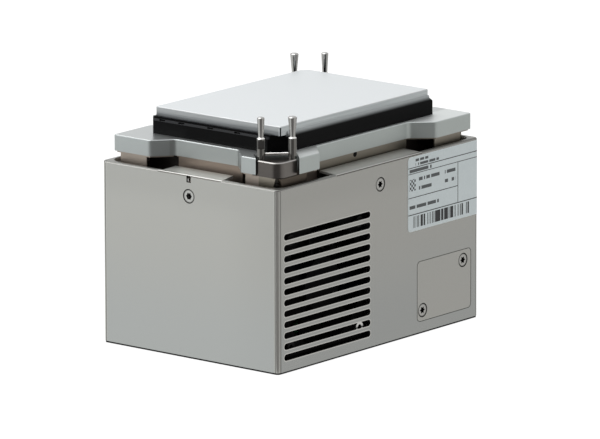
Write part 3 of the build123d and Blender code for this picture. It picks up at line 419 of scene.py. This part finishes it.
# painted shade: the front side darker again towards its bottom, below the lip
tint(warm_mat, warm_mat.math("MULTIPLY", warm_mat.math("SUBTRACT", 1.0, soft(warm_mat, z, 86.0, 91.0)),
                             warm_mat.math("LESS_THAN", y, -36.0)), (0.185, 0.17, 0.138), 0.42)
tint(warm_mat, band(warm_mat, x, -60.5, -57.5), (0.245, 0.202, 0.168))
# painted shade at the near corner, under the clamp block
tint(warm_mat, warm_mat.math("MULTIPLY", warm_mat.math("LESS_THAN", x, -44.0), warm_mat.math("LESS_THAN", y, -47.6)),
     (0.115, 0.096, 0.077), 0.40)
# painted shade low down, in the gap under the lip
tint(warm_mat, warm_mat.math("LESS_THAN", z, 82.5), (0.16, 0.14, 0.12))
spot = radius(warm_mat, x, z, -1.8, 89.5)
tint(warm_mat, warm_mat.math("MULTIPLY", warm_mat.math("LESS_THAN", spot, 1.35),
                             warm_mat.math("LESS_THAN", y, -38.0)), (0.01, 0.01, 0.01), 0.6)
shroud_mat = moulded("shroud_bronze", (0.024, 0.019, 0.016), 0.5, 0.2, 900.0, 0.00002, 0.35)
x, y, z = mm(shroud_mat)
# painted light: the front of the shroud at the near-left is paler where it lies in shade
tint(shroud_mat, shroud_mat.math("MULTIPLY", shroud_mat.math("LESS_THAN", x, -20.0), shroud_mat.math("LESS_THAN", y, -36.0)),
     (0.15, 0.122, 0.10))
dark_mat = steel("dark_steel", (0.112, 0.102, 0.096), 0.30, (0.06, 0.06, 1.0), 1800.0, 0.0000008,
                 0.03, 0.03, 120.0, rv=0.4)
x, y, z = mm(dark_mat)
# painted light: paler where x - y rises past about -18, over one end of the near block and all of the far block
tint(dark_mat, soft(dark_mat, dark_mat.math("SUBTRACT", x, y), -20.5, -15.0), (0.195, 0.182, 0.170))
# painted highlight along the top edge of the blocks
tint(dark_mat, band(dark_mat, z, 96.95, 97.38), (0.40, 0.39, 0.375), 0.28)
pin_mat = turned("pin_steel", (0.47, 0.46, 0.445), 0.07)
clamp_pin_mat = turned("clamp_pin_steel", (0.46, 0.455, 0.445), 0.07)
x, y, z = mm(clamp_pin_mat)
# distance across the clamp line, for the near and the far pair
wn = clamp_pin_mat.math("MULTIPLY", clamp_pin_mat.math("SUBTRACT", clamp_pin_mat.math("SUBTRACT", y, x), 19.74), 0.7071)
wf = clamp_pin_mat.math("MULTIPLY", clamp_pin_mat.math("SUBTRACT", clamp_pin_mat.math("SUBTRACT", x, y), 22.54), 0.7071)
w_ = clamp_pin_mat.math("MINIMUM", clamp_pin_mat.math("ABSOLUTE", wn), clamp_pin_mat.math("ABSOLUTE", wf))
# painted shade: the outer pins darker below the step
pin_lower_shade = clamp_pin_mat.math("MULTIPLY", clamp_pin_mat.math("LESS_THAN", z, 107.0), clamp_pin_mat.math("GREATER_THAN", w_, 5.2))
tint(clamp_pin_mat, pin_lower_shade, (0.20, 0.195, 0.185), 0.10)
# painted highlight on the step ring
tint(clamp_pin_mat, band(clamp_pin_mat, z, 107.0, 107.7), (0.80, 0.79, 0.77), 0.12)
# painted highlight on the bar between the pins
tint(clamp_pin_mat, clamp_pin_mat.math("LESS_THAN", w_, 5.2), (0.78, 0.77, 0.75), 0.15)
# painted shade: a dark band on one pin of each pair
pin_band_shade = clamp_pin_mat.math("MULTIPLY", band(clamp_pin_mat, z, 102.4, 106.3),
                          clamp_pin_mat.math("MAXIMUM", band(clamp_pin_mat, wn, 5.2, 9.5), band(clamp_pin_mat, wf, 5.2, 9.5)))
tint(clamp_pin_mat, pin_band_shade, (0.115, 0.112, 0.108), 0.3)
frame_mat = anodised("frame_anodised", (0.392, 0.418, 0.418), 0.34, var=0.015)
x, y, z = mm(frame_mat)
# painted light: paler where x - y > -10, over the -Y and +X sides, than on the -X side
tint(frame_mat, frame_mat.math("GREATER_THAN", frame_mat.math("SUBTRACT", x, y), -10.0), (0.475, 0.515, 0.505))
# painted shade in the recess on the -X side, under the shell
recess = frame_mat.math("MULTIPLY", frame_mat.math("MULTIPLY", band(frame_mat, y, -19.0, 21.5), frame_mat.math("LESS_THAN", x, -59.9)),
                        frame_mat.math("LESS_THAN", z, 98.1))
tint(frame_mat, recess, (0.322, 0.342, 0.337))
# painted light: the top face and its chamfer paler than the sides
tint(frame_mat, soft(frame_mat, z, 98.2, 98.38), (0.53, 0.555, 0.555), 0.28)
# painted light: the top paler still towards the front (-y)
tint(frame_mat, frame_mat.math("MULTIPLY", frame_mat.math("GREATER_THAN", z, 98.38),
                               frame_mat.math("LESS_THAN", y, -36.0)), (0.60, 0.625, 0.62), 0.50)
adapter_mat = anodised("adapter_anodised", (0.27, 0.285, 0.295), 0.36, metal=0.75, var=0.015)
x, y, z = mm(adapter_mat)
streak = adapter_mat.noise(adapter_mat.map((18.0, 18.0, 900.0)), 1.0, 3.0, 0.6)
# painted shade: the sides darken towards the bottom edge, broken up by streaks
side = adapter_mat.mix(soft(adapter_mat, adapter_mat.math("ADD", z, adapter_mat.rng(streak, -0.9, 0.9, 0.3, 0.7)),
                            106.6, 109.9), (0.15, 0.16, 0.168), (0.37, 0.385, 0.392))
adapter_mat.link(side, adapter_mat.p.inputs["Base Color"])
# painted light: the front (-y) side is paler
front_side = adapter_mat.math("LESS_THAN", y, -36.9)
tint(adapter_mat, front_side,
     adapter_mat.mix(adapter_mat.rng(streak, 0.0, 1.0, 0.35, 0.65), (0.50, 0.54, 0.552), (0.63, 0.672, 0.685)), 0.40)
# painted highlight on the top chamfer
tint(adapter_mat, band(adapter_mat, z, 110.52, 110.79), (0.56, 0.575, 0.58), 0.5)
# painted light: the top face paler than the sides
grain = adapter_mat.noise(adapter_mat.coord, 5200.0, 2.0, 0.7)
tint(adapter_mat, adapter_mat.math("GREATER_THAN", z, 110.79),
     adapter_mat.mix(adapter_mat.rng(grain, 0.0, 1.0, 0.3, 0.7), (0.635, 0.66, 0.672), (0.665, 0.69, 0.702)), 0.45)
# painted shade: a dark line down the near corner
corner = adapter_mat.math("MULTIPLY", adapter_mat.math("LESS_THAN", adapter_mat.math("ADD", x, y), -91.62),
                          adapter_mat.math("LESS_THAN", z, 110.3))
tint(adapter_mat, corner, (0.05, 0.055, 0.06), 0.5)
alu_mat = steel("milled_aluminium", (0.60, 0.61, 0.62), 0.3, (1.0, 0.05, 1.0), 1400.0, 0.00001, 0.05, 0.05)
black_alu = anodised("black_anodised", (0.008, 0.008, 0.0085), 0.5, metal=0.0, var=0.1, spec=0.15)
shell_mat = moulded("shell_plastic", (0.0028, 0.0029, 0.0032), 0.36, 0.055, 2600.0, 0.00001)
x, y, z = mm(shell_mat)
rim = shell_mat.math("MULTIPLY", band(shell_mat, z, 104.5, 105.75),
                     shell_mat.math("GREATER_THAN", shell_mat.math("ABSOLUTE", shell_mat.math("SUBTRACT", x, 0.8)), 56.6))
tint(shell_mat, rim, (0.046, 0.047, 0.050), 0.4)
# painted reflection: a grey sheen on the shoulder of the +-Y sides
shoulder = shell_mat.math("MULTIPLY", soft(shell_mat, z, 105.3, 107.7),
                          shell_mat.math("GREATER_THAN", shell_mat.math("ABSOLUTE", shell_mat.math("ADD", y, 0.6)), 37.3))
tint(shell_mat, shoulder, (0.455, 0.485, 0.495), 0.35)
fan_mat = moulded("fan_plastic", (0.0015, 0.0015, 0.0018), 0.55, 0.06)
comp_mat = moulded("component_plastic", (0.02, 0.02, 0.02), 0.4, 0.3)
foam_mat = moulded("foam", (0.02, 0.02, 0.02), 0.9, 0.1, 900.0, 0.0003, 0.3)
washer_mat = moulded("washer_plastic", (0.62, 0.60, 0.52), 0.5, 0.3)
ceramic_mat = moulded("ceramic", (0.70, 0.70, 0.66), 0.6, 0.3, 3000.0, 0.00002, 0.04)
board_mat = moulded("board", (0.012, 0.09, 0.04), 0.3, 0.5, 400.0, 0.00004, 0.3)
brass_mat = turned("brass", (0.55, 0.40, 0.18), 0.25)
copper_mat = turned("copper", (0.50, 0.24, 0.12), 0.35)
label_mat = label("label_film")

by_node = {
    "base_plate": black_alu, "base_screws": screw_mat, "casing": casing_mat,
    "casing_screws": face_screw_mat, "casing_posts": alu_mat, "access_cover": cover_mat,
    "cover_backing": casing_mat, "cover_screws": cover_screw_mat, "rating_label": label_mat,
    "deck_plate": black_alu, "deck_posts": alu_mat, "deck_screws": screw_mat,
    "motor_housing": black_alu, "motor_bearings": pin_mat, "motor_stator": copper_mat,
    "motor_screws": screw_mat, "motor_shaft": pin_mat, "motor_rotor": dark_mat,
    "eccentric_hub": pin_mat, "counterweight": brass_mat, "guide_bearings_lower": pin_mat,
    "guide_bearings_upper": pin_mat, "tray_subplate": black_alu, "main_bearing": pin_mat,
    "tray_pillars": pin_mat, "thermal_washers": washer_mat, "pillar_screws": screw_mat,
    "heatsink": black_alu, "peltier_modules": ceramic_mat, "cold_plate": alu_mat,
    "temperature_sensor": pin_mat, "insulation_foam": foam_mat, "insulation_cover": shell_mat,
    "adapter_plate": adapter_mat, "shaker_frame": frame_mat,
    "tray_skirt_left": warm_mat, "tray_skirt_right": warm_mat, "tray_shroud": shroud_mat,
    "clamp_block_near": dark_mat, "clamp_block_far": dark_mat,
    "clamp_pins_near": clamp_pin_mat, "clamp_pins_far": clamp_pin_mat,
    "clamp_arm_near": screw_mat, "clamp_arm_far": screw_mat,
    "clamp_solenoid_near": comp_mat, "clamp_solenoid_far": comp_mat,
    "fan_housing": fan_mat, "fan_rotor": fan_mat, "fan_bracket": black_alu,
    "fan_screws": fan_screw_mat, "control_board": board_mat, "board_standoffs": brass_mat,
    "board_components": comp_mat, "power_socket": comp_mat, "data_socket": comp_mat,
    "home_sensor": comp_mat,
}
for c in "abcd":
    by_node["guide_crank_" + c] = pin_mat
for name, obj in nodes.items():
    mat = by_node[name].m
    if not obj.material_slots:
        obj.data.materials.append(mat)
    for slot in obj.material_slots:
        slot.material = mat


# ------------------------------------------------------------ floor and light
def emitter(name, color, strength):
    m = bpy.data.materials.new(name)
    m.use_nodes = True
    t = m.node_tree
    t.nodes.clear()
    o = t.nodes.new("ShaderNodeOutputMaterial")
    e = t.nodes.new("ShaderNodeEmission")
    e.inputs["Color"].default_value = (*color, 1.0)
    e.inputs["Strength"].default_value = strength
    t.links.new(e.outputs[0], o.inputs[0])
    return m


def quad(name, pts, mat, camera=True):
    me = bpy.data.meshes.new(name)
    me.from_pydata(pts, [], [tuple(range(len(pts)))])
    me.materials.append(mat)
    ob = bpy.data.objects.new(name, me)
    bpy.context.scene.collection.objects.link(ob)
    ob.visible_camera = camera
    if not camera:
        ob.visible_shadow = False
    return ob


floor_mat = bpy.data.materials.new("floor")
floor_mat.use_nodes = True
ft = floor_mat.node_tree
ft.nodes.clear()
fo = ft.nodes.new("ShaderNodeOutputMaterial")
fa = ft.nodes.new("ShaderNodeAddShader")
fe = ft.nodes.new("ShaderNodeEmission")
fe.inputs["Color"].default_value = (1, 1, 1, 1)
fe.inputs["Strength"].default_value = 0.975
fd = ft.nodes.new("ShaderNodeBsdfDiffuse")
fd.inputs["Color"].default_value = (0.10, 0.10, 0.10, 1)
ft.links.new(fe.outputs[0], fa.inputs[0])
ft.links.new(fd.outputs[0], fa.inputs[1])
ft.links.new(fa.outputs[0], fo.inputs[0])
R = 6.0
quad("floor", [(-R, -R, -0.0002), (R, -R, -0.0002), (R, R, -0.0002), (-R, R, -0.0002)], floor_mat)

AZ, EL, ROLL = math.radians(-50.793), math.radians(12.726), math.radians(-0.143)
back = Vector((math.sin(AZ) * math.cos(EL), -math.cos(AZ) * math.cos(EL), math.sin(EL)))
right = Vector((math.cos(AZ), math.sin(AZ), 0.0))
up = back.cross(right) * 1.0
fwd2 = Vector((math.sin(AZ), -math.cos(AZ), 0.0))      # on the floor, towards the camera


def on_floor(a, b, z=0.0005):
    p = right * a + fwd2 * b
    return (p.x, p.y, z)


# grey cards on the floor beside the view, so that the steel has something to mirror;
# they start at the foot of the casing
C0 = (-0.0745, -0.0529)


def ray(angle, r, z=0.0004):
    """Point at a bearing from the near corner; 0 is towards the camera, positive to the left."""
    a = math.atan2(fwd2.y, fwd2.x) - math.radians(angle)
    return (C0[0] + r * math.cos(a), C0[1] + r * math.sin(a), z)


quad("card_front", [(C0[0], C0[1], 0.0004), ray(-40, 3.0), ray(40, 3.0)],
     emitter("card_front", (1, 0.98, 0.96), 0.22), camera=False)
quad("card_left", [(C0[0], C0[1], 0.0004), ray(40, 3.0), ray(100, 3.5), (-0.5, 2.6, 0.0004), (C0[0], 2.6, 0.0004)],
     emitter("card_left", (0.985, 1, 0.985), 0.90), camera=False)
quad("card_right", [(C0[0], C0[1], 0.0004), (2.9, C0[1], 0.0004), (2.9, -0.9, 0.0004), ray(-90, 3.0), ray(-40, 3.0)],
     emitter("card_right", (1, 0.99, 0.965), 0.64), camera=False)

world = bpy.data.worlds.new("studio")
bpy.context.scene.world = world
world.use_nodes = True
wt = world.node_tree
wt.nodes.clear()
wo = wt.nodes.new("ShaderNodeOutputWorld")
wb = wt.nodes.new("ShaderNodeBackground")
wt.links.new(wb.outputs[0], wo.inputs[0])
tc = wt.nodes.new("ShaderNodeTexCoord")
dotn = wt.nodes.new("ShaderNodeVectorMath")
dotn.operation = "DOT_PRODUCT"
wt.links.new(tc.outputs["Generated"], dotn.inputs[0])
dotn.inputs[1].default_value = fwd2
sep = wt.nodes.new("ShaderNodeSeparateXYZ")
wt.links.new(tc.outputs["Generated"], sep.inputs[0])


def wmap(src, a, b, lo, hi):
    n = wt.nodes.new("ShaderNodeMapRange")
    n.interpolation_type = "SMOOTHSTEP"
    n.inputs["From Min"].default_value = a
    n.inputs["From Max"].default_value = b
    n.inputs["To Min"].default_value = lo
    n.inputs["To Max"].default_value = hi
    wt.links.new(src, n.inputs["Value"])
    return n.outputs["Result"]


lift = wmap(sep.outputs[2], 0.0, 0.8, 0.96, 1.25)      # brighter overhead
front = wmap(dotn.outputs["Value"], 0.36, 0.84, 1.0, 0.20)  # dark room behind the camera
dots = wt.nodes.new("ShaderNodeVectorMath")
dots.operation = "DOT_PRODUCT"
wt.links.new(tc.outputs["Generated"], dots.inputs[0])
dots.inputs[1].default_value = right
sides = wmap(dots.outputs["Value"], -0.9, 0.9, 0.90, 0.66)  # left side a little brighter


def wmul(a, b):
    n = wt.nodes.new("ShaderNodeMath")
    n.operation = "MULTIPLY"
    wt.links.new(a, n.inputs[0])
    wt.links.new(b, n.inputs[1])
    return n.outputs[0]


wt.links.new(wmul(wmul(lift, front), sides), wb.inputs["Strength"])
wb.inputs["Color"].default_value = (1.0, 1.0, 1.0, 1.0)


def area(name, pos, target, size, power, color=(1, 1, 1)):
    d = bpy.data.lights.new(name, "AREA")
    d.shape = "RECTANGLE"
    d.size, d.size_y = size
    d.energy = power
    d.color = color
    o = bpy.data.objects.new(name, d)
    bpy.context.scene.collection.objects.link(o)
    o.location = pos
    o.rotation_euler = (Vector(target) - Vector(pos)).to_track_quat("-Z", "Y").to_euler()
    return o


area("top_box", Vector((0, 0, 1.3)) - fwd2 * 0.35 - right * 0.3, (0, 0, 0.1), (1.3, 0.9), 9.0)
area("left_strip", right * -1.1 + fwd2 * 0.25 + Vector((0, 0, 0.55)), (0, 0, 0.09), (0.25, 0.9), 3.0)

# ------------------------------------------------------------ camera
cam = bpy.data.cameras.new("camera")
cam.sensor_width = 36.0
cam.sensor_fit = "HORIZONTAL"
cam.lens = 474.46
cam.clip_start = 0.1
cam.clip_end = 50.0
cam_ob = bpy.data.objects.new("camera", cam)
bpy.context.scene.collection.objects.link(cam_ob)
target = Vector((0.002445, -0.002997, 0.052576))
cam_ob.location = target + back * 3.68986
quat = back.to_track_quat("Z", "Y")
cam_ob.rotation_mode = "QUATERNION"
from mathutils import Quaternion
cam_ob.rotation_quaternion = Quaternion(back, ROLL) @ quat
bpy.context.scene.camera = cam_ob
bpy.context.scene.view_settings.view_transform = "Standard"
bpy.context.scene.view_settings.look = "None"
